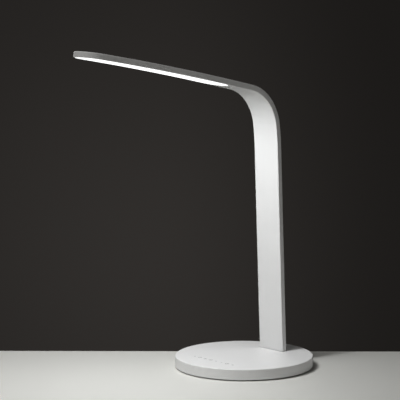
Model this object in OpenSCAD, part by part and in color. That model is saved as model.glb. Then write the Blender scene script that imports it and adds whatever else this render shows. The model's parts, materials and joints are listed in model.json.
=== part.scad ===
// Slim desk lamp: a flat strip of an arm that stands at the back of a round base, bends forward and
// ends in a long light head. The base holds a steel weight, a wireless charging coil and a touch board,
// and the arm tilts a little on a friction hinge that is hidden in it.
// Millimetres. +Z is up, the origin is the middle of the face that the lamp stands on, and the head
// points towards -Y. The arm's pieces are drawn in the arm's own frame: hinge axis along X through
// the origin, the stem straight up, the outer (back) face of the strip towards +Y.

/* [Base] */
// Diameter of the round base
base_d = 180; // [165:1:220]
// Height of the base's top above the table
base_h = 15.2; // [15:0.1:22]
// Shadow gap under the rim
foot_gap = 1.5; // [1:0.1:3]
// Wall of the rim
rim_wall = 2.2; // [1.5:0.1:3.5]
// Skin of the top
top_skin = 2.2; // [1.6:0.1:2.4]
// Rounding of the top's edge
rim_round = 1.2; // [0.4:0.1:2]
// Chamfer of the rim's lower edge
rim_chamfer = 0.4; // [0.2:0.1:1]

/* [Bottom] */
// Thickness of the steel bottom plate
plate_t = 2; // [1.5:0.1:2.2]
// Recess of the plate behind the rim's lower edge
plate_recess = 0.2; // [0:0.1:0.6]
// Gap between the anti-slip pad and the heads of the plate's screws
pad_gap = 2.2; // [1.5:0.1:6]
// Depth of the pad's recess in the plate
pad_recess = 0.6; // [0.3:0.1:1]
// Gap between the steel weight and the screw bosses
weight_gap = 2.5; // [1:0.1:6]
// Height of the steel weight
weight_h = 6; // [4:0.1:6.2]
// How far the plate's screws stand in from the base's edge
screw_in = 10; // [8.5:0.1:10.5]
// Number of plate screws
screw_count = 6; // [6:1:6]

/* [Charger] */
// Outer diameter of the charging coil
coil_d = 46; // [40:1:50]
// Turns of the charging coil
coil_turns = 10; // [6:1:11]
// Thickness of the coil's wire
coil_wire = 0.9; // [0.7:0.05:1.2]
// Gap between the coil's turns
coil_gap = 0.45; // [0.42:0.01:0.6]
// How far the coil's middle lies behind the base's middle
coil_back = 8; // [0:1:9]
// Thickness of the ferrite disc
ferrite_t = 0.8; // [0.5:0.1:1]
// Length of the charger board
board_l = 42; // [34:1:44]
// Width of the charger board
board_w = 32; // [26:1:33]
// Thickness of every circuit board in the base
board_t = 1.2; // [0.8:0.1:1.6]
// How far the touch row lies in from the base's front edge
touch_in = 36; // [32:1:40]
// Length of the touch board
touch_l = 78; // [60:1:84]
// How far the power inlet lies beside the arm
inlet_side = 15; // [-20:1:20]
// Bore of the power inlet
inlet_bore = 6.4; // [5.5:0.1:6.6]

/* [Arm] */
// Width of the arm
arm_w = 43.4; // [38:0.1:48]
// Thickness of the arm
arm_t = 7.2; // [6.8:0.1:8.4]
// How far the arm stands in from the base's back edge, at the base's top
arm_in = 36.9; // [36.5:0.1:40]
// Forward lean of the stem at rest
arm_lean = 2.1; // [0:0.1:4]
// Straight length of the stem above the base
stem_l = 271.8; // [200:0.1:320]
// Radius of the stem's gentle lead into the bend, on the inner face
lead_r = 261; // [200:1:320]
// Angle of the lead into the bend
lead_angle = 6.3; // [3:0.1:9]
// Radius of the main bend, on the inner face
bend_r = 56.5; // [40:0.5:80]
// Angle of the main bend
bend_angle = 49.8; // [40:0.1:56]
// Radius where the bend runs out into the head, on the inner face
close_r = 45.6; // [35:0.1:80]
// Angle of the bend's end
close_angle = 19.7; // [10:0.1:22]
// Length of the head, from the bend to the rounded tip
head_l = 269.7; // [220:0.1:300]
// Radius of the head's slight bow
bow_r = 4460; // [3000:10:6000]
// Where the light strip's round end begins, along the head from the bend
light_start = 31.5; // [10:0.5:60]

/* [Arm section] */
// Back wall of the arm's channel
back_wall = 1.3; // [1:0.1:1.5]
// Side wall of the arm's channel
side_wall = 1.2; // [1:0.1:1.6]
// Rounding of the arm's back edges
back_round = 1.2; // [0.5:0.1:1.8]
// Rounding of the arm's front edges
front_round = 0.7; // [0.3:0.1:1]
// Thickness of the inner cover and of the light strip in it
cover_t = 1.5; // [1.2:0.1:1.7]
// Play of the cover between the side walls
cover_play = 0.1; // [0.05:0.05:0.2]
// Thickness of the cover's clip rails
rail_t = 0.8; // [0.7:0.1:1.2]
// Play of the light strip in the cover's window
light_play = 0.05; // [0.05:0.05:0.2]

/* [Hinge] */
// Radius of the hub's barrel
hub_r = 3.75; // [3.4:0.05:3.9]
// Radius of the hinge pin
pin_r = 2; // [1.5:0.1:2.2]
// Running play of the hub on the pin, on the radius
pin_play = 0.05; // [0.02:0.01:0.08]
// Largest tilt each way from rest
tilt = 8; // [4:0.5:10]
// Height of the hub's tongue in the arm
tongue_l = 60; // [45:1:80]
// Thickness of the hub's tongue
tongue_t = 2.5; // [2:0.1:2.6]

/* [Light] */
// Thickness of the LED board
led_board_t = 1; // [0.8:0.1:1.2]
// Pitch of the LEDs along the head
led_pitch = 10; // [6:0.5:16]
// Height of an LED
led_h = 0.7; // [0.5:0.05:0.9]

/* [Hidden] */
$fn = 96;

white = "whitesmoke";
steel = "silver";
dark = "dimgray";
eps = 0.01;
// Play round every screw's shank, and between a screwed piece and the hole that it stands in
screw_play = 0.05;

// Heights in the base
plate_z = foot_gap + plate_recess;
plate_top = plate_z + plate_t;
skin_z = base_h - top_skin;
weight_top = plate_top + weight_h;
base_r = base_d / 2;
rim_r = base_r - rim_wall;
plate_gap = 0.25;
arm_back = base_r - arm_in;
touch_front = base_r - touch_in;

// Plate screws and the bosses that they bite into
screw_r = 1.5;
screw_head_r = 2.8;
screw_head_h = 1.4;
screw_bite = 6;
boss_r = 3.5;
boss_bore_l = screw_bite + 0.6;
screw_ring_r = base_r - screw_in;
pad_r = screw_ring_r - screw_head_r - pad_gap;
weight_r = screw_ring_r - boss_r - weight_gap;

// Weight: its pocket, notch and screws
weight_notch_gap = 2;
weight_screw_r = 1.5;
weight_screw_head_r = 2.6;
weight_screw_head_h = 1.1;
weight_screw_z = plate_z + pad_recess;
weight_screw_bite = 4;
weight_screw_side = 30;
weight_screw_front = 36;
weight_screw_in = 24;
weight_screw_back = 22;
weight_screw_places = [[-weight_screw_side, -weight_screw_front], [weight_screw_side, -weight_screw_front],
    [weight_r - weight_screw_in, weight_screw_back]];

// Charger: coil, holder, board
coil_h = coil_wire * sin(60);
coil_z = skin_z - coil_h;
ferrite_z = coil_z - ferrite_t;
ferrite_r = coil_d / 2 + 2;
holder_rim = 1.2;
holder_bore_r = 6;
holder_play = 0.15;
coil_pitch = coil_wire + coil_gap;
coil_steps = 24;
coil_sides = 6;
board_in = 39;
board_side = board_in - base_r;
board_front = 6;
board_drop = 1.5;
board_z = skin_z - board_drop - board_t;
board_inset = 3;
board_parts_h = 2.6;
pocket_gap = 1.5;
pocket_depth = 3.6;
standoff_r = 2.5;
board_screw_r = 1;
board_screw_head_r = 1.9;
board_screw_head_h = 0.6;
board_screw_l = board_t + board_drop - 0.3;
touch_w = 12;
touch_pad_count = 8;
touch_pad_r = 3.4;

// Power inlet
inlet_w = 9.6;
inlet_h = 9;
inlet_l = 12;
inlet_z = plate_top + inlet_h / 2;
inlet_nose_r = 4;
inlet_hole_r = inlet_nose_r + 0.2;
inlet_recess = 0.3;
inlet_pin_r = 1;
inlet_depth = 9.5;
inlet_mouth_y = sqrt(pow(base_r, 2) - pow(abs(inlet_side) + inlet_nose_r, 2)) - inlet_recess;
inlet_body_y = sqrt(pow(rim_r, 2) - pow(abs(inlet_side) + inlet_w / 2, 2)) - 0.2;

// Hinge
hub_under = 0.5;
hinge_z = plate_top + hub_under + hub_r;
hinge_rise = base_h - hinge_z;
hinge_y = arm_back + hinge_rise * tan(arm_lean);
washer_t = 0.5;
washer_r = hub_r;
ear_t = 2;
ear_gap = 0.05;
hub_half = arm_w / 2 + 0.1;
ear_x = hub_half + ear_gap + washer_t + ear_gap;
ear_out = ear_x + ear_t;
ear_r = min(hub_r + hub_under - 0.1, skin_z - hinge_z - 0.3);
pin_head_r = 3.4;
pin_head_t = 1.5;
spring_t = 1;
spring_r = 4;
spring_count = 2;
nut_t = 3.2;
nut_af = 7;
nut_x = ear_out + spring_count * spring_t;
pin_end = nut_x + nut_t + 0.9;
foot_t = 1.6;
foot_window_x = pin_end + 1;
foot_window_y = 5.5;
foot_half_x = foot_window_x + 8.5;
foot_half_y = 12;
foot_screw_x = foot_window_x + 4.5;
foot_screw_y = 8.7;
foot_screw_head_r = 2.75;
foot_screw_head_h = 1.8;
ear_base_half = 9.5;

// Slot for the arm in the top: room for the tilt either way
slot_gap = 0.35;
slot_side = 0.6;
slot_corner = 1;
slot_front = strip_reach(arm_lean + tilt) + slot_gap;
slot_rear = strip_reach(tilt - arm_lean) + slot_gap;

// Arm: half sizes, and what the channel leaves free
half_t = arm_t / 2;
half_w = arm_w / 2;
strip_foot = hub_r + 0.45;
stem_top = stem_l + hinge_rise / cos(arm_lean);
cavity_t = half_t - back_wall;
cavity_w = half_w - side_wall;
cover_w = cavity_w - cover_play;
cover_back = cover_t - half_t;
rail_in = cover_w - rail_t;
rail_back = cover_back + 1.8;
// How much smaller a rounded tip is than its strip, so that no two faces run into each other edgeless
tip_step = 0.01;
tip_lap = 1;

// Path of the arm's middle: arcs about these centres [y, z], from these directions
arc_r = [lead_r + half_t, bend_r + half_t, close_r + half_t, bow_r + half_t];
arc_from = [0, lead_angle, lead_angle + bend_angle, lead_angle + bend_angle + close_angle];
lead_centre = [-arc_r[0], stem_top];
bend_centre = next_centre(lead_centre, 0);
close_centre = next_centre(bend_centre, 1);
bow_centre = next_centre(close_centre, 2);
arc_centre = [lead_centre, bend_centre, close_centre, bow_centre];
head_run = head_l - half_w;

// Tongue, its studs and nuts
cable_room = 5.5;
tongue_w = 2 * (cavity_w - cable_room);
stud_r = 1.5;
stud_places = [18, 34, 50];
stud_nut_t = 1.5;
stud_nut_af = 5.5;
stud_l = tongue_t + stud_nut_t + 0.1;

// Cable in the arm, flat against the back wall beside the tongue
cable_t = 1.5;
cable_w = 3;
cable_in = tongue_w / 2 + 0.4;

// Light
board_half = rail_in - 0.6;
light_w = rail_in - light_play;
light_from = light_start + light_w;
frame_w = light_w - 0.1;
frame_wall = 1.3;
led_w = 3;
led_l = 2.8;
led_rows = [-8, 8];
led_front = cavity_t - led_board_t;
led_count = floor((head_run - light_from) / led_pitch) + 2;

// Bars of the arm: [from, to across the thickness, from, to across the width, edge rounding at from, at to]
shell_bar = [-half_t, half_t, -half_w, half_w, front_round, back_round];
channel_bar = [-half_t - 1, cavity_t, -cavity_w, cavity_w, 0, 0];
cover_bar = [-half_t, rail_back, -cover_w, cover_w, 0, 0];
cover_hollow = [cover_back, rail_back + 1, -rail_in, rail_in, 0, 0];
window_bar = [-half_t - 1, cover_back + 1, -rail_in, rail_in, 0, 0];
light_bar = [-half_t, cover_back, -light_w, light_w, 0, 0];
frame_bar = [cover_back, led_front - 0.06, -frame_w, frame_w, 0, 0];
frame_hollow = [cover_back - 1, led_front + 1, frame_wall - frame_w, frame_w - frame_wall, 0, 0];
led_board_bar = [led_front, cavity_t, -board_half, board_half, 0, 0];
cable_bar = [cavity_t - cable_t, cavity_t, cable_in, cable_in + cable_w, 0, 0];

// How far the strip's face reaches from the hinge axis at the base's top, when it leans by an angle
function strip_reach(a) = arm_t / 2 / cos(a) + (base_h - hinge_z) * tan(a);
// Centre of the arc that follows arc i smoothly
function next_centre(c, i) =
    c + (arc_r[i] - arc_r[i + 1]) * [cos(arc_from[i + 1]), sin(arc_from[i + 1])];
// The head's direction at a length along its bow, rounded to a ten-thousandth of a degree so that bars that
// end at the same length end on one plane, and the point of its middle line there
function bow_dir(s) = round((arc_from[3] + s / arc_r[3] * 180 / PI) * 10000) / 10000;
function bow_point(s) = bow_centre + arc_r[3] * [cos(bow_dir(s)), sin(bow_dir(s))];

// ---- Placing ----

module arm_place() {
    translate([0, hinge_y, hinge_z]) rotate([arm_lean, 0, 0]) children();
}

// Moves in a coarse and a fine step, so that long strips stay flush where they meet
module shift(p) {
    coarse = [round(p[0] * 100) / 100, round(p[1] * 100) / 100];
    translate([0, coarse[0], coarse[1]]) translate([0, p[0] - coarse[0], p[1] - coarse[1]]) children();
}

module at_head(s) {
    shift(bow_point(s)) rotate([bow_dir(s), 0, 0]) children();
}

// ---- Bars along the arm ----

// What a rounding takes off a square edge: st and sw say which way the edge points
module edge_cut(t, w, r, st, sw) {
    translate([t - st * r, w - sw * r]) difference() {
        translate([st > 0 ? 0 : -r - 1, sw > 0 ? 0 : -r - 1]) square(r + 1);
        circle(r);
    }
}

module section(b) {
    difference() {
        translate([b[0], b[2]]) square([b[1] - b[0], b[3] - b[2]]);
        for (sw = [-1, 1]) {
            w = sw > 0 ? b[3] : b[2];
            if (b[4] > 0) edge_cut(b[0], w, b[4], -1, sw);
            if (b[5] > 0) edge_cut(b[1], w, b[5], 1, sw);
        }
    }
}

// Half of a symmetric section, as it turns about the thickness at a rounded tip
module half_section(b) {
    difference() {
        translate([0, b[0] + tip_step]) square([b[3] - tip_step, b[1] - b[0] - 2 * tip_step]);
        if (b[4] > 0) edge_cut(b[3] - tip_step, b[0] + tip_step, b[4], 1, -1);
        if (b[5] > 0) edge_cut(b[3] - tip_step, b[1] - tip_step, b[5], 1, 1);
    }
}

module stem_bar(b, z0) {
    shift([0, stem_top]) rotate([180, 0, 90]) linear_extrude(stem_top - z0) section(b);
}

module arc_bar(b, i, from, a) {
    shift(arc_centre[i]) rotate([90, 0, 90]) rotate_extrude(angle = a, start = from, $fn = i == 3 ? 1440 : 180)
        translate([arc_r[i], 0]) section(b);
}

// Bar up the stem and round the bend, as far as the head
module low_bar(b, z0) {
    stem_bar(b, z0);
    for (i = [0:2]) arc_bar(b, i, arc_from[i], arc_from[i + 1] - arc_from[i]);
}

module head_bar(b, s0, s1) {
    arc_bar(b, 3, bow_dir(s0), bow_dir(s1) - bow_dir(s0));
}

// Half-round end of a bar at a length of the head, pointing on to the tip or back to the stem. It reaches a
// little way into the bar, so that the two join.
module round_end(b, s = head_run, on = true) {
    at_head(s) {
        rotate([-90, 0, 0]) rotate_extrude(angle = 180, start = on ? 180 : 0) half_section(b);
        translate([0, 0, on ? -tip_lap : 0]) linear_extrude(tip_lap) {
            half_section(b);
            mirror([1, 0]) half_section(b);
        }
    }
}

// Bar along the whole arm, from height z0 to the rounded tip
module whole_bar(b, z0) {
    low_bar(b, z0);
    head_bar(b, 0, head_run - tip_lap / 2);
    round_end(b);
}

// Bar with two round ends, under the light
module light_bar_at(b) {
    head_bar(b, light_from + tip_lap / 2, head_run - tip_lap / 2);
    round_end(b, light_from, false);
    round_end(b);
}

// ---- Base ----

module rim_profile() {
    difference() {
        translate([0, foot_gap]) square([base_r, base_h - foot_gap]);
        translate([-1, foot_gap - 1]) square([rim_r + 1, skin_z - foot_gap + 1]);
        edge_cut(base_r, base_h, rim_round, 1, 1);
        polygon([[base_r - rim_chamfer, foot_gap - 1], [base_r + 1, foot_gap - 1], [base_r + 1, foot_gap + rim_chamfer],
            [base_r, foot_gap + rim_chamfer], [base_r - rim_chamfer, foot_gap]]);
    }
}

module on_screw_circle() {
    for (i = [0:screw_count - 1])
        rotate([0, 0, 360 * i / screw_count]) translate([screw_ring_r, 0, 0]) children();
}

module at_board_corners() {
    for (x = [-1, 1], y = [-1, 1])
        translate([board_side + x * (board_w / 2 - board_inset), board_front + y * (board_l / 2 - board_inset), 0])
            children();
}

module at_bracket_screws() {
    for (x = [-1, 1], y = [-1, 1]) translate([x * foot_screw_x, hinge_y + y * foot_screw_y, 0]) children();
}

// Plan of the slot that the arm stands in
module slot_plan() {
    section([hinge_y - slot_front, hinge_y + slot_rear, -half_w - slot_side, half_w + slot_side, slot_corner, slot_corner]);
}

module base_cover() {
    color(white) difference() {
        union() {
            rotate_extrude() rim_profile();
            on_screw_circle() translate([0, 0, plate_top]) cylinder(r = boss_r, h = skin_z - plate_top + eps);
            at_board_corners() translate([0, 0, skin_z - board_drop]) cylinder(r = standoff_r, h = board_drop + eps);
        }
        on_screw_circle() translate([0, 0, plate_top - 1]) cylinder(r = screw_r + screw_play, h = boss_bore_l + 1);
        at_board_corners() translate([0, 0, skin_z - board_drop - 1])
            cylinder(r = board_screw_r + screw_play, h = board_drop + 0.9);
        translate([0, 0, skin_z - 1]) mirror([1, -1, 0]) linear_extrude(top_skin + 2) slot_plan();
        translate([inlet_side, inlet_body_y - rim_wall, inlet_z]) rotate([-90, 0, 0]) cylinder(r = inlet_hole_r, h = base_r);
    }
}

module countersunk(r, head_r, head_h, l) {
    cylinder(r = r, h = l);
    cylinder(r1 = head_r, r2 = r, h = head_h);
}

module base_plate() {
    color(dark) difference() {
        translate([0, 0, plate_z]) cylinder(r = rim_r - plate_gap, h = plate_t);
        translate([0, 0, plate_z - 1]) cylinder(r = pad_r, h = pad_recess + 1);
        on_screw_circle() translate([0, 0, plate_z])
            screw_hole(screw_r, screw_head_r, screw_head_h, plate_t);
        for (p = weight_screw_places) translate([p[0], p[1], weight_screw_z])
            screw_hole(weight_screw_r, weight_screw_head_r, weight_screw_head_h, plate_t);
        at_bracket_screws() translate([0, 0, plate_z - 1]) cylinder(r = screw_r + screw_play, h = plate_t + 2);
    }
}

// Countersunk hole from the underside, with the screw's play
module screw_hole(r, head_r, head_h, l) {
    translate([0, 0, -1]) cylinder(r = r + screw_play, h = l + 2);
    cylinder(r1 = head_r + screw_play, r2 = r + screw_play, h = head_h);
    translate([0, 0, -1]) cylinder(r = head_r + screw_play, h = 1 + eps);
}

module foot_pad() {
    color("darkslategray") cylinder(r = pad_r - screw_play, h = plate_z + pad_recess);
}

module counterweight() {
    notch_x = foot_half_x + weight_notch_gap;
    notch_y = hinge_y - foot_half_y - weight_notch_gap;
    color(steel) difference() {
        translate([0, 0, plate_top]) cylinder(r = weight_r, h = weight_h);
        translate([-notch_x, notch_y, plate_top - 1]) cube([2 * notch_x, base_r, weight_h + 2]);
        translate([board_side - board_w / 2 - pocket_gap, board_front - board_l / 2 - pocket_gap, weight_top - pocket_depth])
            cube([board_w + 2 * pocket_gap, board_l + 2 * pocket_gap, pocket_depth + 1]);
        for (p = weight_screw_places) translate([p[0], p[1], plate_top - 1])
            cylinder(r = weight_screw_r + screw_play, h = weight_screw_bite + 1.4);
    }
}

module weight_screws() {
    color(steel) for (p = weight_screw_places) translate([p[0], p[1], weight_screw_z])
        countersunk(weight_screw_r, weight_screw_head_r, weight_screw_head_h, plate_top - weight_screw_z + weight_screw_bite);
}

module plate_screws() {
    color(steel) on_screw_circle() translate([0, 0, plate_z])
        countersunk(screw_r, screw_head_r, screw_head_h, plate_t + screw_bite);
}

// ---- Charger ----

module at_coil() {
    translate([0, coil_back, 0]) children();
}

// Tray on the weight that holds the ferrite and the coil up against the top
module coil_holder() {
    out_r = ferrite_r + holder_play + holder_rim;
    color("gainsboro") at_coil() translate([0, 0, weight_top]) difference() {
        cylinder(r = out_r, h = coil_z + 0.6 - weight_top);
        translate([0, 0, ferrite_z - weight_top]) cylinder(r = ferrite_r + holder_play, h = coil_z);
        translate([0, 0, -1]) cylinder(r = holder_bore_r, h = coil_z);
    }
}

module coil_ferrite() {
    color("dimgray") at_coil() translate([0, 0, ferrite_z]) difference() {
        cylinder(r = ferrite_r, h = ferrite_t);
        translate([0, 0, -1]) cylinder(r = 5, h = ferrite_t + 2);
    }
}

// The coil is one unbroken wire that winds outwards on a flat spiral
coil_in_r = coil_d / 2 - coil_wire / 2 - coil_turns * coil_pitch;
coil_rings = coil_turns * coil_steps;
function coil_ring(i) =
    let (a = 360 * i / coil_steps, r = coil_in_r + coil_pitch * i / coil_steps)
    [for (k = [0:coil_sides - 1]) let (b = 360 * k / coil_sides, q = r + coil_wire / 2 * cos(b))
        [q * cos(a), q * sin(a), coil_wire / 2 * sin(b)]];
coil_points = [for (i = [0:coil_rings]) each coil_ring(i)];
coil_walls = [for (i = [0:coil_rings - 1], k = [0:coil_sides - 1])
    let (p = i * coil_sides + k, q = i * coil_sides + (k + 1) % coil_sides)
    each [[p, q, p + coil_sides], [q, q + coil_sides, p + coil_sides]]];
coil_first = [for (k = [1:coil_sides - 2]) [0, k + 1, k]];
coil_last = [for (k = [1:coil_sides - 2]) [0, k, k + 1] + coil_rings * coil_sides * [1, 1, 1]];
// Least gap between points of one turn and points of the next
coil_least_gap = min([for (i = [0:coil_steps], k = [0:coil_sides - 1], m = [0:coil_sides - 1])
    norm(coil_ring(i)[k] - coil_ring(i + coil_steps)[m])]);
echo(coil_least_gap = coil_least_gap);

module charging_coil() {
    color("peru") at_coil() translate([0, 0, coil_z + coil_h / 2])
        polyhedron(points = coil_points, faces = concat(coil_walls, coil_first, coil_last), convexity = 10);
}

module charger_board() {
    hang = board_parts_h;
    color("seagreen") difference() {
        union() {
            translate([board_side - board_w / 2, board_front - board_l / 2, board_z]) cube([board_w, board_l, board_t]);
            translate([board_side - 10, board_front + 3, board_z - hang]) cube([8, 8, hang + eps]);
            translate([board_side + 6, board_front - 6, board_z - hang]) cylinder(r = 4, h = hang + eps);
            translate([board_side - 8, board_front - 14, board_z - 1.2]) cube([6, 6, 1.2 + eps]);
            translate([board_side + 3, board_front + 6, board_z - 1.2]) cube([5, 4, 1.2 + eps]);
            for (i = [0:3]) translate([board_side - 9 + 5 * i, board_front - 4, board_z - 0.8]) cube([2, 1.2, 0.8 + eps]);
        }
        at_board_corners() translate([0, 0, board_z - 1]) cylinder(r = board_screw_r + screw_play, h = board_t + 2);
    }
}

module board_screws() {
    color(steel) at_board_corners() translate([0, 0, board_z]) {
        translate([0, 0, -board_screw_head_h]) cylinder(r = board_screw_r, h = board_screw_head_h + board_screw_l);
        translate([0, 0, -board_screw_head_h]) cylinder(r = board_screw_head_r, h = board_screw_head_h);
    }
}

// Board under the touch marks, with one copper pad for each of them on its lower face
module touch_board() {
    color("seagreen") union() {
        translate([-touch_l / 2, -touch_front - touch_w / 2, skin_z - board_t]) cube([touch_l, touch_w, board_t]);
        for (i = [0:touch_pad_count - 1])
            translate([(i - (touch_pad_count - 1) / 2) * touch_l / touch_pad_count, -touch_front, skin_z - board_t - 0.2])
                cylinder(r = touch_pad_r, h = 0.2 + eps);
    }
}

module power_inlet() {
    color(dark) difference() {
        union() {
            translate([inlet_side - inlet_w / 2, inlet_body_y - inlet_l, plate_top]) cube([inlet_w, inlet_l, inlet_h]);
            translate([inlet_side, inlet_body_y - 1, inlet_z]) rotate([-90, 0, 0])
                cylinder(r = inlet_nose_r, h = inlet_mouth_y - inlet_body_y + 1);
        }
        translate([inlet_side, inlet_mouth_y - inlet_depth, inlet_z]) rotate([-90, 0, 0]) difference() {
            cylinder(d = inlet_bore, h = inlet_depth + 1);
            translate([0, 0, -1]) cylinder(r = inlet_pin_r, h = inlet_depth);
        }
    }
}

// ---- Hinge in the base ----

// Steel bracket: a foot with a window for the barrel, and two ears that carry the pin
module hinge_bracket() {
    color(steel) difference() {
        union() {
            translate([-foot_half_x, hinge_y - foot_half_y, plate_top]) difference() {
                cube([2 * foot_half_x, 2 * foot_half_y, foot_t]);
                translate([foot_half_x - foot_window_x, foot_half_y - foot_window_y, -1])
                    cube([2 * foot_window_x, 2 * foot_window_y, foot_t + 2]);
            }
            for (s = [-1, 1]) translate([s * (ear_x + ear_t / 2), hinge_y, hinge_z]) ear();
        }
        translate([-base_r, hinge_y, hinge_z]) rotate([0, 90, 0]) cylinder(r = pin_r + 0.02, h = base_d);
        at_bracket_screws() translate([0, 0, plate_top - 1]) cylinder(r = screw_r + screw_play, h = foot_t + 2);
    }
}

module ear() {
    low = plate_top + foot_t - 0.4 - hinge_z;
    rotate([90, 0, 90]) translate([0, 0, -ear_t / 2]) {
        cylinder(r = ear_r, h = ear_t);
        linear_extrude(ear_t) polygon([[-ear_base_half, low], [ear_base_half, low], [ear_r * cos(20), ear_r * sin(20)],
            [-ear_r * cos(20), ear_r * sin(20)]]);
    }
}

module bracket_screws() {
    color(steel) at_bracket_screws() {
        translate([0, 0, weight_screw_z + 0.2])
            cylinder(r = screw_r, h = plate_top + foot_t + foot_screw_head_h - weight_screw_z - 0.2);
        translate([0, 0, plate_top + foot_t]) cylinder(r = foot_screw_head_r, h = foot_screw_head_h);
    }
}

module on_pin(x) {
    translate([x, hinge_y, hinge_z]) rotate([0, 90, 0]) children();
}

module hinge_pin() {
    color(steel) {
        on_pin(-ear_out - eps) cylinder(r = pin_r, h = pin_end + ear_out);
        on_pin(-ear_out - pin_head_t) cylinder(r = pin_head_r, h = pin_head_t);
    }
}

module disc_springs() {
    color(steel) for (i = [0:spring_count - 1]) on_pin(ear_out + i * spring_t) difference() {
        wide = i % 2 == 0 ? spring_r : spring_r - 0.5;
        cylinder(r1 = wide, r2 = 2 * spring_r - 0.5 - wide, h = spring_t - 0.02);
        translate([0, 0, -1]) cylinder(r = pin_r + 0.1, h = spring_t + 2);
    }
}

module hex_nut(af, bore_r, t) {
    difference() {
        cylinder(d = af / cos(30), h = t, $fn = 6);
        translate([0, 0, -1]) cylinder(r = bore_r, h = t + 2, $fn = 48);
    }
}

module pin_nut() {
    color(steel) on_pin(nut_x) hex_nut(nut_af, pin_r + 0.02, nut_t);
}

module friction_washers() {
    color("peru") for (s = [-1, 1]) on_pin(s * (hub_half + ear_gap + washer_t / 2)) translate([0, 0, -washer_t / 2])
        difference() {
            cylinder(r = washer_r, h = washer_t);
            translate([0, 0, -1]) cylinder(r = pin_r + 0.1, h = washer_t + 2);
        }
}

// ---- Arm ----

// Steel hub: the barrel on the pin, and the tongue that stands in the arm's channel
module arm_hub() {
    color(steel) arm_place() difference() {
        union() {
            translate([-hub_half, 0, 0]) rotate([0, 90, 0]) cylinder(r = hub_r, h = 2 * hub_half);
            translate([-tongue_w / 2, cavity_t - tongue_t, 0]) cube([tongue_w, tongue_t, tongue_l]);
        }
        translate([-hub_half - 1, 0, 0]) rotate([0, 90, 0]) cylinder(r = pin_r + pin_play, h = 2 * hub_half + 2);
        for (z = stud_places) translate([0, 0, z]) rotate([90, 0, 0])
            cylinder(r = stud_r + screw_play, h = 4 * arm_t, center = true);
    }
}

// Outer channel of the arm, in one piece from the foot to the rounded tip, with studs for the hub
module arm_shell() {
    color(white) arm_place() {
        difference() {
            whole_bar(shell_bar, strip_foot);
            whole_bar(channel_bar, strip_foot - 1);
        }
        for (z = stud_places) translate([0, cavity_t + eps, z]) rotate([90, 0, 0]) cylinder(r = stud_r, h = stud_l);
    }
}

// Inner face of the arm: clipped between the channel's side walls, with a window for the light strip
module arm_cover() {
    color(white) arm_place() difference() {
        whole_bar(cover_bar, strip_foot);
        whole_bar(cover_hollow, strip_foot - 1);
        light_bar_at(window_bar);
    }
}

module hub_nuts() {
    color(steel) arm_place() for (z = stud_places) translate([0, cavity_t - tongue_t, z]) rotate([90, 0, 0])
        hex_nut(stud_nut_af, stud_r + 0.02, stud_nut_t);
}

module arm_cable() {
    color("darkslategray") arm_place() {
        low_bar(cable_bar, strip_foot + 1);
        head_bar(cable_bar, 0, light_start);
    }
}

// ---- Light ----

module led_board() {
    color("seagreen") arm_place() {
        head_bar(led_board_bar, light_start, head_run - tip_lap / 2);
        round_end(led_board_bar);
    }
}

module led_chips() {
    color("gold") arm_place() for (i = [0:led_count - 1], w = led_rows)
        at_head(light_from + (i - 0.5) * led_pitch) translate([w - led_w / 2, led_front - led_h, -led_l / 2])
            cube([led_w, led_h, led_l]);
}

// White frame between the LED board and the light strip, all round the light
module reflector_frame() {
    color("ivory") arm_place() difference() {
        light_bar_at(frame_bar);
        light_bar_at(frame_hollow);
    }
}

module light_strip() {
    color("ivory") arm_place() light_bar_at(light_bar);
}

base_cover();
base_plate();
foot_pad();
counterweight();
weight_screws();
plate_screws();
coil_holder();
coil_ferrite();
charging_coil();
charger_board();
board_screws();
touch_board();
power_inlet();
hinge_bracket();
bracket_screws();
hinge_pin();
disc_springs();
pin_nut();
friction_washers();
arm_hub();
arm_shell();
arm_cover();
hub_nuts();
arm_cable();
led_board();
led_chips();
reflector_frame();
light_strip();
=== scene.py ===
"""Desk lamp with a round charging base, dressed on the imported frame.

A Blender add-on layout, run as a script. Metres, +Z up, the head points towards -Y, and the origin is
the middle of the face that the lamp stands on.
"""

import json
import math

import bpy
from mathutils import Matrix, Vector

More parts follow.
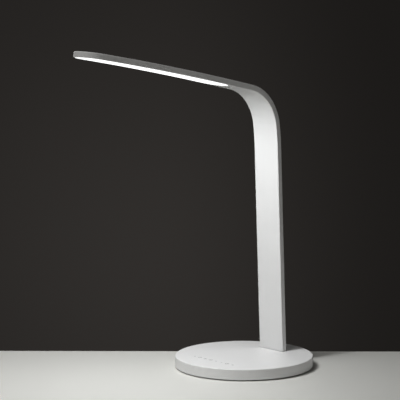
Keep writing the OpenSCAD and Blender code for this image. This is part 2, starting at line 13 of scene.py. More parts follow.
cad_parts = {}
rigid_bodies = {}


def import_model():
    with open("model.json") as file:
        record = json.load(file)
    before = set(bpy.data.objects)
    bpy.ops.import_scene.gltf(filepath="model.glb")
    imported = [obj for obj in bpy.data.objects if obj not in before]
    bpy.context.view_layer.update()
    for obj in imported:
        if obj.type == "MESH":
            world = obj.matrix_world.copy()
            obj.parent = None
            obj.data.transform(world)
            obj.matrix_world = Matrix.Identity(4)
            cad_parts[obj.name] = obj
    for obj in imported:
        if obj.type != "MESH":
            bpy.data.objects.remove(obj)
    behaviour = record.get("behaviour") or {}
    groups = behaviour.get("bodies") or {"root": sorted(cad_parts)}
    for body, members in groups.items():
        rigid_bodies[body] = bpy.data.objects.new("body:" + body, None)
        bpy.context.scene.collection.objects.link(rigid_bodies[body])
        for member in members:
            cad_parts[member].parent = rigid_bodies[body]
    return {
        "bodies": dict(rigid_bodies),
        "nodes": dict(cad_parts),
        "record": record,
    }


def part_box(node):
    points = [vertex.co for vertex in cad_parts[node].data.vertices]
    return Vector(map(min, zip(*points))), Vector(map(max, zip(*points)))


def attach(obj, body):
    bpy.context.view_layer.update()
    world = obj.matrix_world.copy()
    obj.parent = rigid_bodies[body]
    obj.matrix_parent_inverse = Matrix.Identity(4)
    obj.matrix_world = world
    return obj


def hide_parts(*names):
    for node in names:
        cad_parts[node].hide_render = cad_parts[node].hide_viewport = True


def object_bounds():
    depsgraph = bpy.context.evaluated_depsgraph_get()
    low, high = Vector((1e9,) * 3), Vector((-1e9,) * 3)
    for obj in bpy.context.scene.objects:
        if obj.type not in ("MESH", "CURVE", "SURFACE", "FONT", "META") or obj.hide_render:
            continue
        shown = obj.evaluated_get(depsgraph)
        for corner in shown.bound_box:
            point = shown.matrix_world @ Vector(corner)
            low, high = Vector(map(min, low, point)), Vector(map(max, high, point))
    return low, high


bl_info = {
    "name": "Round-base desk lamp",
    "version": (1, 0, 0),
    "blender": (4, 5, 0),
    "location": "3D View > Sidebar > Desk Lamp",
    "description": "Touch marks, screws and finishes of a slim desk lamp, and the table that it stands on",
    "category": "Object",
}

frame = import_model()
CAD_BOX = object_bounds()
MM = 0.001
UP = Vector((0, 0, 1))
# Radius of a plate screw's head
SCREW_HEAD = 2.8 * MM
# How far the table goes on behind the base's rim
TABLE_SPARE = 2 * MM


def middle_of(node):
    low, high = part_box(node)
    return (low + high) / 2


# ---- Sizes and colours ----


class LampMarkSizes(bpy.types.PropertyGroup):
    front: bpy.props.FloatProperty(
        name="Row's place", description="Distance of the touch row in front of the base's middle",
        default=-middle_of("touch_board").y, unit="LENGTH")
    span: bpy.props.FloatProperty(
        name="Row's length", description="From the first touch mark's middle to the last one's",
        default=0.072, unit="LENGTH")
    size: bpy.props.FloatProperty(
        name="Mark's size", description="Outside size of a round touch mark", default=0.0054, unit="LENGTH")
    line: bpy.props.FloatProperty(
        name="Line's width", description="Width of a printed line", default=0.0007, unit="LENGTH")
    film: bpy.props.FloatProperty(
        name="Print's height", description="Height of the print above the top",
        default=0.00004, unit="LENGTH")


class LampScrewSizes(bpy.types.PropertyGroup):
    count: bpy.props.IntProperty(
        name="Screws", description="Number of screws in the bottom plate", default=6, min=1)
    ring: bpy.props.FloatProperty(
        name="Ring of screws", description="Distance of the screws from the base's middle",
        default=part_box("plate_screws")[1].x - SCREW_HEAD, unit="LENGTH")
    slot_width: bpy.props.FloatProperty(
        name="Slot's width", description="Width of a cross recess's wings", default=0.0009, unit="LENGTH")
    slot_length: bpy.props.FloatProperty(
        name="Slot's length", description="Length of a cross recess from wing to wing",
        default=0.0034, unit="LENGTH")
    slot_depth: bpy.props.FloatProperty(
        name="Slot's depth", description="Depth of a cross recess", default=0.0009, unit="LENGTH")


class LampFinishes(bpy.types.PropertyGroup):
    white: bpy.props.FloatVectorProperty(
        name="White", description="Moulded white of the base and the arm", subtype="COLOR", size=3,
        min=0, max=1, default=(0.84, 0.84, 0.84))
    print_grey: bpy.props.FloatVectorProperty(
        name="Print", description="Grey of the touch marks", subtype="COLOR", size=3,
        min=0, max=1, default=(0.32, 0.32, 0.32))
    light: bpy.props.FloatVectorProperty(
        name="Light", description="Colour of the lit strip and of the light that it gives", subtype="COLOR",
        size=3, min=0, max=1, default=(0.985, 0.995, 1.0))
    light_power: bpy.props.FloatProperty(
        name="Light's strength", description="How brightly the strip glows, where 1 is white",
        default=1.3, min=0)


class LampStageSizes(bpy.types.PropertyGroup):
    table_reach: bpy.props.FloatProperty(
        name="Table behind", description="How far the table goes on behind the base's middle",
        default=CAD_BOX[1][1] + TABLE_SPARE, unit="LENGTH")
    table_turn: bpy.props.FloatProperty(
        name="Table's turn", description="How far the table's far edge is turned from square to the view",
        default=math.radians(-1.54), subtype="ANGLE")
    table_tone: bpy.props.FloatVectorProperty(
        name="Table", description="Colour of the table top", subtype="COLOR", size=3,
        min=0, max=1, default=(0.70, 0.70, 0.67))
    room_tone: bpy.props.FloatVectorProperty(
        name="Room", description="Colour of the dark room behind", subtype="COLOR", size=3,
        min=0, max=1, default=(0.0300, 0.0272, 0.0250))
    strip_power: bpy.props.FloatProperty(
        name="Strip's light", description="Power of the lamps that light what is round the lit strip",
        default=1.24, subtype="POWER")
    key_power: bpy.props.FloatProperty(
        name="Key light", description="Power of the large soft light overhead, to the left",
        default=7.7, subtype="POWER")
    front_power: bpy.props.FloatProperty(
        name="Front light", description="Power of the soft light between the camera and the lamp",
        default=1.6, subtype="POWER")
    back_power: bpy.props.FloatProperty(
        name="Back light", description="Power of the soft light behind the lamp, to the left",
        default=4.0, subtype="POWER")
    fill: bpy.props.FloatProperty(
        name="Fill", description="Strength of the even light from all round", default=0.02, min=0)


# ---- Materials ----

# Part of a noise's values that mottle and rough spread over their whole range
NOISE_SPAN = (0.3, 0.7)
# Only the noise's highest values become grains in the ferrite
GRAIN_SPAN = (0.62, 0.7)
BLACK = (0.028, 0.028, 0.03)
GREEN_MASK = (0.02, 0.16, 0.06)
WHITE_MASK = (0.78, 0.78, 0.76)


class Nodes:
    """Adds nodes to a tree and joins them."""

    def __init__(self, tree):
        self.tree = tree

    def add(self, kind, **settings):
        node = self.tree.nodes.new(kind)
        for key, value in settings.items():
            setattr(node, key, value)
        return node

    def join(self, a, b):
        self.tree.links.new(a, b)

    def calc(self, how, a, b=0.0):
        """Works out a number from two, each of them a socket or a plain number."""
        node = self.add("ShaderNodeMath", operation=how)
        for socket, value in zip(node.inputs, (a, b)):
            if isinstance(value, (int, float)):
                socket.default_value = value
            else:
                self.join(value, socket)
        return node.outputs[0]

    def measure(self, how, vector, fixed):
        """A number from a vector and a fixed one, such as their distance."""
        node = self.add("ShaderNodeVectorMath", operation=how)
        self.join(vector, node.inputs[0])
        node.inputs[1].default_value = fixed
        return node.outputs["Value"]

    def ramp(self, value, low, high, to_low=0.0, to_high=1.0, smooth=False):
        """Spreads the values from low to high over those from to_low to to_high."""
        node = self.add("ShaderNodeMapRange", interpolation_type="SMOOTHSTEP" if smooth else "LINEAR")
        numbers = {"From Min": low, "From Max": high, "To Min": to_low, "To Max": to_high}
        for socket, number in numbers.items():
            node.inputs[socket].default_value = number
        self.join(value, node.inputs["Value"])
        return node.outputs["Result"]


class Finish(Nodes):
    """A procedural material on Object coordinates. Scales are per metre."""

    def __init__(self, name, colour, roughness, metallic=0.0):
        self.material = bpy.data.materials.new(name)
        self.material.use_nodes = True
        super().__init__(self.material.node_tree)
        self.shader = self.tree.nodes["Principled BSDF"]
        self.shader.inputs["Base Color"].default_value = (*colour, 1)
        self.shader.inputs["Roughness"].default_value = roughness
        self.shader.inputs["Metallic"].default_value = metallic
        self.colour = colour
        self.where = self.add("ShaderNodeTexCoord").outputs["Object"]
        self.paint = None
        self.relief = None

    def spread(self, scale):
        """Coordinates with a scale of their own along each axis."""
        node = self.add("ShaderNodeMapping")
        node.inputs["Scale"].default_value = scale
        self.join(self.where, node.inputs["Vector"])
        return node.outputs["Vector"]

    def noise(self, scale, detail=2.0, where=None):
        node = self.add("ShaderNodeTexNoise")
        node.inputs["Scale"].default_value = scale
        node.inputs["Detail"].default_value = detail
        self.join(where or self.where, node.inputs["Vector"])
        return node.outputs["Fac"]

    def axes(self):
        node = self.add("ShaderNodeSeparateXYZ")
        self.join(self.where, node.inputs[0])
        return node.outputs

    def tint(self, mask, colour):
        """Paints colour over what is there, where mask is 1."""
        node = self.add("ShaderNodeMix", data_type="RGBA")
        self.join(mask, node.inputs["Factor"])
        if self.paint is None:
            node.inputs[6].default_value = (*self.colour, 1)
        else:
            self.join(self.paint, node.inputs[6])
        node.inputs[7].default_value = (*colour, 1)
        self.paint = node.outputs[2]
        self.join(self.paint, self.shader.inputs["Base Color"])
        return self

    def mottle(self, scale, by, detail=3.0):
        """Lets the colour vary a little, darker by the share given."""
        dark = tuple(c * (1 - by) for c in self.colour)
        return self.tint(self.ramp(self.noise(scale, detail), *NOISE_SPAN), dark)

    def rough(self, scale, low, high, where=None):
        """Lets the roughness vary from low to high."""
        level = self.ramp(self.noise(scale, where=where), *NOISE_SPAN, low, high)
        self.join(level, self.shader.inputs["Roughness"])
        return self

    def bump(self, height, deep):
        """Relief from a height of 0 to 1, deep metres from low to high."""
        node = self.add("ShaderNodeBump")
        node.inputs["Strength"].default_value = 1
        node.inputs["Distance"].default_value = deep
        self.join(height, node.inputs["Height"])
        if self.relief is not None:
            self.join(self.relief, node.inputs["Normal"])
        self.relief = node.outputs["Normal"]
        self.join(self.relief, self.shader.inputs["Normal"])
        return self

    def grain(self, scale, deep, detail=2.0, where=None):
        """Relief of a fine noise, deep metres from low to high."""
        return self.bump(self.noise(scale, detail, where), deep)

    def gloss(self, level):
        self.shader.inputs["Specular IOR Level"].default_value = level
        return self

    def coat(self, weight, roughness):
        self.shader.inputs["Coat Weight"].default_value = weight
        self.shader.inputs["Coat Roughness"].default_value = roughness
        return self


def white_plastic(colour):
    """Moulded white with a fine spark-eroded grain and a soft sheen."""
    made = Finish("white_plastic", colour, 0.42).gloss(0.4)
    return made.mottle(18, 0.025, 4).rough(900, 0.38, 0.5).grain(2600, 0.012 * MM).material


def powder_coat():
    """Black powder coat with its orange-peel texture."""
    made = Finish("black_powder_coat", (0.045, 0.045, 0.05), 0.5)
    return made.mottle(140, 0.3).rough(300, 0.42, 0.62).grain(900, 0.04 * MM).material


def rubber():
    """Dull grey-black rubber with a fine lattice on its sole."""
    made = Finish("sole_rubber", (0.06, 0.06, 0.065), 0.85).mottle(60, 0.1)
    pitch = 2.4 * MM
    low, high = -0.2, 0.9
    x, y, _ = made.axes()
    waves = [made.calc("SINE", made.calc("MULTIPLY", v, 2 * math.pi / pitch)) for v in (x, y)]
    made.bump(made.ramp(made.calc("MAXIMUM", *waves), low, high), 0.12 * MM)
    return made.grain(1500, 0.02 * MM).material


def rolled_steel():
    """Cut and rolled steel, with rolling lines along X and darker patches."""
    made = Finish("rolled_steel", (0.42, 0.42, 0.43), 0.4, 1.0)
    lines = made.spread((40, 1600, 1600))
    return made.mottle(45, 0.3, 5).rough(1, 0.3, 0.52, lines).grain(1, 0.015 * MM, where=lines).material


def zinc():
    """Zinc plate: bright, slightly cloudy. The carried solids and the modelled screws share it."""
    ready = bpy.data.materials.get("zinc_plate")
    if ready:
        return ready
    made = Finish("zinc_plate", (0.62, 0.62, 0.6), 0.3, 1.0)
    return made.mottle(260, 0.2, 4).rough(500, 0.22, 0.42).grain(1400, 0.008 * MM).material


def natural_plastic():
    """Uncoloured plastic, slightly cloudy, that lets a little light in."""
    made = Finish("natural_plastic", (0.72, 0.72, 0.68), 0.5)
    made.shader.inputs["Subsurface Weight"].default_value = 0.1
    made.shader.inputs["Subsurface Scale"].default_value = 2 * MM
    return made.mottle(70, 0.06, 4).rough(400, 0.42, 0.6).grain(1200, 0.02 * MM).material


def ferrite():
    """Pressed ferrite with pale grains in it."""
    made = Finish("pressed_ferrite", (0.035, 0.035, 0.04), 0.55)
    made.tint(made.ramp(made.noise(1800), *GRAIN_SPAN), (0.12, 0.12, 0.13))
    return made.rough(300, 0.45, 0.7).grain(900, 0.03 * MM, 3).material


def enamelled_copper():
    """Copper wire under clear enamel, a little darker here and there."""
    made = Finish("enamelled_copper", (0.62, 0.25, 0.11), 0.28, 1.0)
    return made.mottle(220, 0.35, 4).coat(0.6, 0.15).grain(900, 0.01 * MM).material


def circuit_board(name, mask, parts_below=None):
    """Solder mask, paler over its copper tracks; what hangs lower than parts_below is dark parts."""
    made = Finish(name, mask, 0.35).coat(0.25, 0.2)
    tracks = made.add("ShaderNodeTexBrick", offset=0.5)
    in_mm = {"Scale": 1, "Brick Width": 5.2, "Row Height": 1.7, "Mortar Size": 0.16}
    for socket, number in in_mm.items():
        tracks.inputs[socket].default_value = number
    made.join(made.spread((1 / MM, 1 / MM, 1 / MM)), tracks.inputs["Vector"])
    paler_by, paler_least = 1.7, 0.02
    made.tint(tracks.outputs["Fac"], tuple(min(1, c * paler_by + paler_least) for c in mask))
    made.bump(tracks.outputs["Fac"], 0.03 * MM)
    if parts_below is not None:
        made.tint(made.calc("LESS_THAN", made.axes()[2], parts_below), (0.025, 0.025, 0.028))
    return made.rough(300, 0.3, 0.45).material


def black_plastic():
    """Black insulation plastic."""
    made = Finish("black_plastic", BLACK, 0.45)
    return made.mottle(90, 0.25).rough(350, 0.38, 0.55).grain(1000, 0.02 * MM).material


def inlet_plastic(middle, radius):
    """Black inlet with its metal centre pin, which lies along Y within that radius of the middle."""
    made = Finish("inlet_plastic", BLACK, 0.4)
    x, _, z = made.axes()
    squares = []
    for value, centre in ((x, middle.x), (z, middle.z)):
        aside = made.calc("SUBTRACT", value, centre)
        squares.append(made.calc("MULTIPLY", aside, aside))
    pin = made.calc("LESS_THAN", made.calc("SQRT", made.calc("ADD", *squares)), radius)
    made.tint(pin, (0.62, 0.6, 0.55))
    made.join(pin, made.shader.inputs["Metallic"])
    return made.grain(1000, 0.02 * MM).material


def bronze():
    """Plain sintered bronze."""
    made = Finish("sintered_bronze", (0.5, 0.32, 0.14), 0.4, 1.0)
    return made.mottle(600, 0.35, 4).rough(700, 0.32, 0.5).grain(1800, 0.02 * MM).material


def phosphor():
    """Glossy yellow phosphor of the LEDs."""
    made = Finish("led_phosphor", (0.85, 0.62, 0.12), 0.35)
    return made.mottle(500, 0.15).coat(0.5, 0.1).grain(1400, 0.01 * MM).material


def opal(colour, power):
    """Lit opal plastic with a fine frost."""
    made = Finish("lit_opal", (0.9, 0.9, 0.88), 0.4)
    made.shader.inputs["Emission Color"].default_value = (*colour, 1)
    made.shader.inputs["Emission Strength"].default_value = power
    return made.mottle(40, 0.02).grain(2200, 0.01 * MM).material


def touch_print(colour):
    """Thin grey screen print."""
    return Finish("touch_print", colour, 0.6).mottle(900, 0.08).grain(2200, 0.008 * MM).material


def table_top(colour):
    """Pale matt laminate, very slightly uneven in tone."""
    return Finish("table_top", colour, 0.55).gloss(0.3).mottle(9, 0.012, 4).rough(500, 0.5, 0.6).material


def give_material(piece, material):
    """Gives a piece its one material."""
    piece.data.materials.clear()
    piece.data.materials.append(material)


def dress(material, *nodes):
    """Gives CAD nodes their material."""
    for node in nodes:
        give_material(frame["nodes"][node], material)


# ---- Modelling by hand ----


def nothing_selected():
    if bpy.context.object and bpy.context.object.mode != "OBJECT":
        bpy.ops.object.mode_set(mode="OBJECT")
    bpy.ops.object.select_all(action="DESELECT")


def select_only(piece):
    nothing_selected()
    piece.select_set(True)
    bpy.context.view_layer.objects.active = piece


def pick_faces(piece, test):
    """In edit mode: selects the faces whose middle and normal pass the test, and nothing else."""
    bpy.ops.mesh.select_mode(type="FACE")
    bpy.ops.mesh.select_all(action="DESELECT")
    bpy.ops.object.mode_set(mode="OBJECT")
    for face in piece.data.polygons:
        face.select = bool(test(face.center, face.normal))
    bpy.ops.object.mode_set(mode="EDIT")


def set_in_place(piece, name):
    """Names a piece and puts its place into its mesh."""
    select_only(piece)
    bpy.ops.object.transform_apply(location=True, rotation=True, scale=True)
    piece.name = name
    piece.data.name = name


def joined(pieces, name):
    """One piece in place of several."""
    nothing_selected()
    for piece in pieces:
        piece.select_set(True)
    bpy.context.view_layer.objects.active = pieces[0]
    if len(pieces) > 1:
        bpy.ops.object.join()
    piece = bpy.context.object
    set_in_place(piece, name)
    return piece


# ---- Touch marks ----

RING_SIDES = 40
# Corner radius of a printed bar, as a share of its narrower side
BAR_ROUNDING = 0.45
# A printed dot is this many lines across
DOT_LINES = 1.6


class Pen:
    """Prints round one touch mark's middle. Places and sizes are shares of the mark's size."""

    def __init__(self, sizes, x):
        self.middle = Vector((x, -sizes.front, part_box("base_cover")[1].z))
        self.size = sizes.size
        self.line = sizes.line
        self.film = sizes.film

    def raised(self, piece):
        """Gives a flat shape, in edit mode, the print's height."""
        bpy.ops.mesh.select_all(action="SELECT")
        bpy.ops.mesh.extrude_region_move(TRANSFORM_OT_translate={"value": (0, 0, self.film)})
        bpy.ops.mesh.select_all(action="SELECT")
        bpy.ops.mesh.normals_make_consistent(inside=False)
        bpy.ops.object.mode_set(mode="OBJECT")
        return piece

    def ring(self, across):
        """A ring: a disc, inset by the line's width, with its middle taken out."""
        nothing_selected()
        bpy.ops.mesh.primitive_circle_add(
            vertices=RING_SIDES, radius=across * self.size / 2, fill_type="NGON", location=self.middle)
        piece = bpy.context.object
        bpy.ops.object.mode_set(mode="EDIT")
        bpy.ops.mesh.inset(thickness=self.line, depth=0)
        bpy.ops.mesh.delete(type="FACE")
        return self.raised(piece)

    def bar(self, right=0.0, up=0.0, wide=None, long=None, turn=0.0):
        """A bar with rounded ends; the side that isn't given is a line's width."""
        wide, long = (self.line if side is None else side * self.size for side in (wide, long))
        nothing_selected()
        bpy.ops.mesh.primitive_plane_add(size=1, location=self.middle + Vector((right, up, 0)) * self.size)
        piece = bpy.context.object
        piece.scale = (wide, long, 1)
        piece.rotation_euler = (0, 0, turn)
        bpy.ops.object.transform_apply(location=False, rotation=True, scale=True)
        bpy.ops.object.mode_set(mode="EDIT")
        bpy.ops.mesh.select_all(action="SELECT")
        bpy.ops.mesh.bevel(offset=min(wide, long) * BAR_ROUNDING, segments=4, affect="VERTICES")
        return self.raised(piece)

    def dot(self):
        across = DOT_LINES * self.line / self.size
        return self.bar(wide=across, long=across)


def small_ring_mark(pen):
    return [pen.ring(0.5)]


def power_mark(pen):
    return [pen.ring(1), pen.bar(up=0.22, long=0.55)]


def brightness_mark(pen, rays=8, away=0.41):
    marks = [pen.ring(0.46)]
    for i in range(rays):
        turn = 2 * math.pi * i / rays
        marks.append(pen.bar(-math.sin(turn) * away, math.cos(turn) * away, long=0.17, turn=turn))
    return marks


def colour_mark(pen):
    return [pen.ring(1), pen.dot()]


def more_mark(pen):
    return [pen.bar(wide=0.6), pen.bar(long=0.6)]


def less_mark(pen):
    return [pen.bar(wide=0.6)]


def timer_mark(pen):
    return [pen.ring(1), pen.bar(up=0.12, long=0.28), pen.bar(right=0.1, wide=0.24)]


MARKS = (small_ring_mark, power_mark, brightness_mark, colour_mark, more_mark, less_mark, timer_mark,
         small_ring_mark)


class LAMP_OT_touch_marks(bpy.types.Operator):
    """Row of eight small generic marks over the touch board"""

    bl_idname = "lamp.touch_marks"
    bl_label = "Touch marks"

    def execute(self, context):
        sizes = context.scene.lamp_marks
        last = len(MARKS) - 1
        printed = []
        for i, mark in enumerate(MARKS):
            printed += mark(Pen(sizes, sizes.span * (i / last - 0.5)))
        row = joined(printed, "touch_marks")
        give_material(row, touch_print(tuple(context.scene.lamp_finishes.print_grey)))
        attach(row, "base")
        return {"FINISHED"}


# ---- Screws under the base ----

# A driven screw ends at any angle: each recess is turned by this many times its place's turn
RECESS_TURN = 1.7
# Size of a recess's plug at its inner end, over that at its outer end
PLUG_TAPER = 0.62
SMOOTH_BELOW = math.radians(35)


class LAMP_OT_plate_screws(bpy.types.Operator):
    """Six countersunk screws with cross recesses, in place of the plain ones"""

    bl_idname = "lamp.plate_screws"
    bl_label = "Plate screws"

    def execute(self, context):
        sizes = context.scene.lamp_screws
        piece = merged_copy("plate_screws", "cross_screws")
        plug = cross_plug(sizes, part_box("plate_screws")[0].z)
        plugs = []
        for i in range(sizes.count):
            turn = 2 * math.pi * i / sizes.count
            one = plug.copy()
            one.data = plug.data.copy()
            one.matrix_world = (Matrix.Rotation(turn, 4, "Z") @ Matrix.Translation((sizes.ring, 0, 0))
                                @ Matrix.Rotation(turn * RECESS_TURN, 4, "Z"))
            context.collection.objects.link(one)
            plugs.append(one)
        bpy.data.objects.remove(plug)
        crosses = joined(plugs, "crosses")
        cut = piece.modifiers.new("recess", "BOOLEAN")
        cut.operation, cut.solver, cut.object = "DIFFERENCE", "EXACT", crosses
        select_only(piece)
        bpy.ops.object.modifier_apply(modifier="recess")
        bpy.data.objects.remove(crosses)
        select_only(piece)
        bpy.ops.object.shade_smooth_by_angle(angle=SMOOTH_BELOW)
        give_material(piece, zinc())
        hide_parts("plate_screws")
        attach(piece, "base")
        return {"FINISHED"}


def cross_plug(sizes, low):
    """A cross-shaped plug, narrower towards its top, that starts a little below a screw's head."""
    nothing_selected()
    wide = sizes.slot_width
    reach = (sizes.slot_length - wide) / 2
    below = sizes.slot_depth / 2
    tall = below + sizes.slot_depth
    bpy.ops.mesh.primitive_cube_add(size=1, location=(0, 0, low - below + tall / 2))
    piece = bpy.context.object
    piece.scale = (wide, wide, tall)
    bpy.ops.object.transform_apply(location=True, rotation=True, scale=True)
    bpy.ops.object.mode_set(mode="EDIT")
    for side in ((1, 0, 0), (-1, 0, 0), (0, 1, 0), (0, -1, 0)):
        way = Vector(side)
        # The middle's own face on that side, and not the sides of the wings beside it
        pick_faces(piece, lambda c, n: n.dot(way) > 0.9 and abs(c.cross(way).z) < wide / 2)
        bpy.ops.mesh.extrude_region_move(TRANSFORM_OT_translate={"value": tuple(way * reach)})
    pick_faces(piece, lambda c, n: n.z > 0.9)
    bpy.ops.transform.resize(value=(PLUG_TAPER, PLUG_TAPER, 1), center_override=(0, 0, low))
    bpy.ops.object.mode_set(mode="OBJECT")
    return piece


def merged_copy(node, name):
    """A copy of a CAD node to model on, its points merged and its stored normals cleared."""
    source = frame["nodes"][node]
    piece = source.copy()
    piece.data = source.data.copy()
    piece.name = name
    # The copy isn't a CAD node, so it doesn't keep the properties that mark one
    for key in list(piece.keys()):
        del piece[key]
    piece.parent = None
    bpy.context.collection.objects.link(piece)
    select_only(piece)
    bpy.ops.object.mode_set(mode="EDIT")
    bpy.ops.mesh.select_all(action="SELECT")
    bpy.ops.mesh.remove_doubles(threshold=1e-6)
    bpy.ops.object.mode_set(mode="OBJECT")
    bpy.ops.mesh.customdata_custom_splitnormals_clear()
    return piece


# ---- Finishes of the carried solids ----

# The charger board's parts hang lower than this below its top: the board's own thickness, and a hair
BOARD_DEPTH = 1.22 * MM
# The inlet is metal this far from the middle of its bore: its pin, and a hair
PIN_RADIUS = 1.05 * MM


class LAMP_OT_finishes(bpy.types.Operator):
    """Gives every solid of the lamp its material"""

    bl_idname = "lamp.finishes"
    bl_label = "Finishes"

    def execute(self, context):
        finishes = context.scene.lamp_finishes
        inlet = next(m for m in frame["record"]["mounts"] if m["name"] == "power_inlet")
        parts_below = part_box("charger_board")[1].z - BOARD_DEPTH
        dress(white_plastic(tuple(finishes.white)), "base_cover", "arm_shell", "arm_cover")
        dress(powder_coat(), "base_plate")
        dress(rubber(), "foot_pad")
        dress(rolled_steel(), "counterweight", "arm_hub")
        dress(zinc(), "weight_screws", "board_screws", "hinge_bracket", "bracket_screws", "hinge_pin",
              "disc_springs", "pin_nut", "hub_nuts", "plate_screws")
        dress(natural_plastic(), "coil_holder", "reflector_frame")
        dress(ferrite(), "coil_ferrite")
        dress(enamelled_copper(), "charging_coil")
        dress(circuit_board("charger_mask", GREEN_MASK, parts_below), "charger_board")
        dress(circuit_board("touch_mask", GREEN_MASK), "touch_board")
        dress(circuit_board("led_mask", WHITE_MASK), "led_board")
        dress(inlet_plastic(Vector(inlet["pos_m"]), PIN_RADIUS), "power_inlet")
        dress(black_plastic(), "arm_cable")
        dress(bronze(), "friction_washers")
        dress(phosphor(), "led_chips")
        dress(opal(tuple(finishes.light), finishes.light_power), "light_strip")
        return {"FINISHED"}


# ---- Stage ----

# The camera's place, and its level directions of view and to the right
VIEW_FROM = Vector((1.5532, -1.4667, 0.4721))
VIEW_ALONG = Vector((-0.745, 0.667, 0)).normalized()
VIEW_RIGHT = Vector((0.667, 0.745, 0)).normalized()
VIEW_DROP = math.radians(6.762)
VIEW_ROLL = math.radians(-0.225)
# In millimetres
SENSOR_WIDTH = 36
LENS_LENGTH = 149.7

# Across the view, along it, and thick
TABLE_SIZE = Vector((2.6, 1.6, 0.02))

# The way to the room's lightest part, low and a little to the left
ROOM_LIGHTEST = (VIEW_ALONG - VIEW_RIGHT * 0.03 - UP * 0.15).normalized()
# From the first distance to the second, the room's strength falls from the third number to the fourth
ROOM_AWAY = (0.0, 0.2, 1.0, 0.6)
ROOM_ASIDE = (-0.03, 0.12, 1.0, 0.64)

FILL_TONE = (1, 0.985, 0.96)
LIGHT_TONE = (1, 0.988, 0.965)
# What the soft lights face
LIT_MIDDLE = Vector((0, -0.05, 0.2))

STRIP_LAMPS = 5
# Share of its stretch that a strip's lamp leaves free at each end
STRIP_GAP = 0.1
# Width of a strip's lamp as a share of the strip's
STRIP_WIDTH = 0.86
STRIP_BELOW = 0.6 * MM


def table(sizes):
    """A slab whose top is the ground, with its far edge a little behind the lamp."""
    nothing_selected()
    bpy.ops.mesh.primitive_cube_add(size=1)
    slab = bpy.context.object
    slab.scale = TABLE_SIZE
    middle = Matrix.Rotation(sizes.table_turn, 3, "Z") @ VIEW_ALONG * (sizes.table_reach - TABLE_SIZE.y / 2)
    slab.location = (middle.x, middle.y, -TABLE_SIZE.z / 2)
    slab.rotation_euler = (0, 0, math.atan2(VIEW_RIGHT.y, VIEW_RIGHT.x) + sizes.table_turn)
    set_in_place(slab, "table")
    give_material(slab, table_top(tuple(sizes.table_tone)))


def room(sizes):
    """The view and the reflections show a dark room, and all else gets an even fill light."""
    world = bpy.data.worlds.new("room")
    world.use_nodes = True
    nodes = Nodes(world.node_tree)
    nodes.tree.nodes.clear()
    rays = nodes.add("ShaderNodeLightPath").outputs
    shown = nodes.calc("MAXIMUM", rays["Is Camera Ray"], rays["Is Glossy Ray"])
    shown = nodes.calc("MAXIMUM", shown, rays["Is Transmission Ray"])

    way = nodes.add("ShaderNodeTexCoord").outputs["Generated"]
    away = nodes.ramp(nodes.measure("DISTANCE", way, ROOM_LIGHTEST), *ROOM_AWAY, smooth=True)
    aside = nodes.ramp(nodes.measure("DOT_PRODUCT", way, VIEW_RIGHT), *ROOM_ASIDE, smooth=True)
    dark = nodes.add("ShaderNodeBackground")
    dark.inputs["Color"].default_value = (*sizes.room_tone, 1)
    nodes.join(nodes.calc("MULTIPLY", away, aside), dark.inputs["Strength"])

    fill = nodes.add("ShaderNodeBackground")
    fill.inputs["Color"].default_value = (*FILL_TONE, 1)
    fill.inputs["Strength"].default_value = sizes.fill

    mix = nodes.add("ShaderNodeMixShader")
    for output, socket in zip((shown, fill.outputs[0], dark.outputs[0]), mix.inputs):
        nodes.join(output, socket)
    nodes.join(mix.outputs[0], nodes.add("ShaderNodeOutputWorld").inputs["Surface"])
    return world


def area_light(name, place, turned, power, colour, **form):
    """A light that shines along its own -Z; form holds its shape and sizes."""
    data = bpy.data.lights.new(name, "AREA")
    data.energy, data.color = power, colour
    for key, value in form.items():
        setattr(data, key, value)
    light = bpy.data.objects.new(name, data)
    bpy.context.scene.collection.objects.link(light)
    light.location = place
    light.rotation_mode = "QUATERNION"
    light.rotation_quaternion = turned
    return light


def soft_lights(sizes):
    """Round lights that face the lamp, each so far to the right, along the view and up from its middle."""
    for name, right, along, up, across, power in (
        ("key_light", -0.6, -0.4, 1.4, 1.0, sizes.key_power),
        ("front_light", 0.0, -1.6, 0.3, 0.8, sizes.front_power),
        ("back_light", -0.9, 1.6, 0.55, 0.9, sizes.back_power),
    ):
        away = VIEW_RIGHT * right + VIEW_ALONG * along + UP * up
        area_light(name, LIT_MIDDLE + away, (-away).to_track_quat("-Z", "Y"), power, LIGHT_TONE,
                   shape="DISK", size=across)


def strip_underside():
    """Points (y, z) along the lit strip's underside, from its back end to its tip."""
    mesh = frame["nodes"]["light_strip"].data
    under = {}
    for face in mesh.polygons:
        if face.normal.z < -0.9:
            for i in face.vertices:
                under[round(mesh.vertices[i].co.y, 5)] = mesh.vertices[i].co.z
    return sorted(under.items(), reverse=True)


def point_on(line, share):
    """The point at that share of the line's length in y."""
    y = line[0][0] + (line[-1][0] - line[0][0]) * share
    (y0, z0), (y1, z1) = next(pair for pair in zip(line, line[1:]) if pair[1][0] <= y <= pair[0][0])
    return Vector((0, y, z0 + (z1 - z0) * (y0 - y) / (y0 - y1)))


def strip_lights(power, colour):
    """Flat lamps in a row just below the lit strip, which go with the arm and aren't seen themselves."""
    line = strip_underside()
    low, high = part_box("light_strip")
    for i in range(STRIP_LAMPS):
        near = point_on(line, (i + STRIP_GAP) / STRIP_LAMPS)
        far = point_on(line, (i + 1 - STRIP_GAP) / STRIP_LAMPS)
        along = (far - near).normalized()
        # The line runs towards -Y, so this is its lower side
        down = Vector((1, 0, 0)).cross(along)
        turned = Matrix((along, (-down).cross(along), -down)).transposed().to_quaternion()
        # From half of the mean power at the back end to one and a half of it at the tip
        weight = 0.5 + i / (STRIP_LAMPS - 1)
        lamp = area_light(
            f"strip_light_{i}", (near + far) / 2 + down * STRIP_BELOW, turned, power * weight / STRIP_LAMPS,
            colour, shape="RECTANGLE", size=(far - near).length, size_y=(high.x - low.x) * STRIP_WIDTH)
        lamp.visible_camera = False
        lamp.parent = frame["bodies"]["arm"]


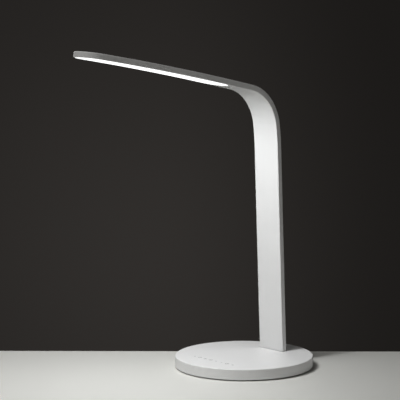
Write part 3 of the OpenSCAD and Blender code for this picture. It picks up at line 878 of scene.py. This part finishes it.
def view_camera():
    """The camera, which looks down a little and is rolled a little."""
    data = bpy.data.cameras.new("camera")
    data.sensor_width = SENSOR_WIDTH
    data.lens = LENS_LENGTH
    data.clip_start, data.clip_end = 0.05, 20
    camera = bpy.data.objects.new("camera", data)
    bpy.context.scene.collection.objects.link(camera)
    along = VIEW_ALONG * math.cos(VIEW_DROP) - UP * math.sin(VIEW_DROP)
    level = along.cross(UP).normalized()
    turned = Matrix((level, level.cross(along), -along)).transposed()
    camera.matrix_world = (Matrix.Translation(VIEW_FROM) @ turned.to_4x4()
                           @ Matrix.Rotation(VIEW_ROLL, 4, "Z"))
    return camera


class LAMP_OT_stage(bpy.types.Operator):
    """Pale table, dark room, soft lights and the camera"""

    bl_idname = "lamp.stage"
    bl_label = "Stage"

    def execute(self, context):
        scene = context.scene
        sizes = scene.lamp_stage
        scene.view_settings.view_transform = "Standard"
        table(sizes)
        scene.world = room(sizes)
        soft_lights(sizes)
        strip_lights(sizes.strip_power, tuple(scene.lamp_finishes.light))
        scene.camera = view_camera()
        return {"FINISHED"}


# ---- Panel ----

STEPS = ("lamp.finishes", "lamp.touch_marks", "lamp.plate_screws", "lamp.stage")


class LAMP_PT_panel(bpy.types.Panel):
    """The lamp's sizes, colours and pieces"""

    bl_idname = "LAMP_PT_panel"
    bl_label = "Desk Lamp"
    bl_space_type = "VIEW_3D"
    bl_region_type = "UI"
    bl_category = "Desk Lamp"

    def draw(self, context):
        layout = self.layout
        for step in STEPS:
            layout.operator(step)
        for group in GROUPS:
            box = layout.box()
            values = getattr(context.scene, group)
            for key in values.__annotations__:
                box.prop(values, key)


GROUPS = {
    "lamp_marks": LampMarkSizes,
    "lamp_screws": LampScrewSizes,
    "lamp_finishes": LampFinishes,
    "lamp_stage": LampStageSizes,
}
OPERATORS = (LAMP_OT_finishes, LAMP_OT_touch_marks, LAMP_OT_plate_screws, LAMP_OT_stage)


def register():
    for name, group in GROUPS.items():
        bpy.utils.register_class(group)
        setattr(bpy.types.Scene, name, bpy.props.PointerProperty(type=group))
    for operator in OPERATORS:
        bpy.utils.register_class(operator)
    bpy.utils.register_class(LAMP_PT_panel)


def unregister():
    bpy.utils.unregister_class(LAMP_PT_panel)
    for operator in reversed(OPERATORS):
        bpy.utils.unregister_class(operator)
    for name, group in reversed(list(GROUPS.items())):
        delattr(bpy.types.Scene, name)
        bpy.utils.unregister_class(group)


def main():
    register()
    for step in STEPS:
        group, name = step.split(".")
        getattr(getattr(bpy.ops, group), name)()
    nothing_selected()


if __name__ == "__main__":
    main()
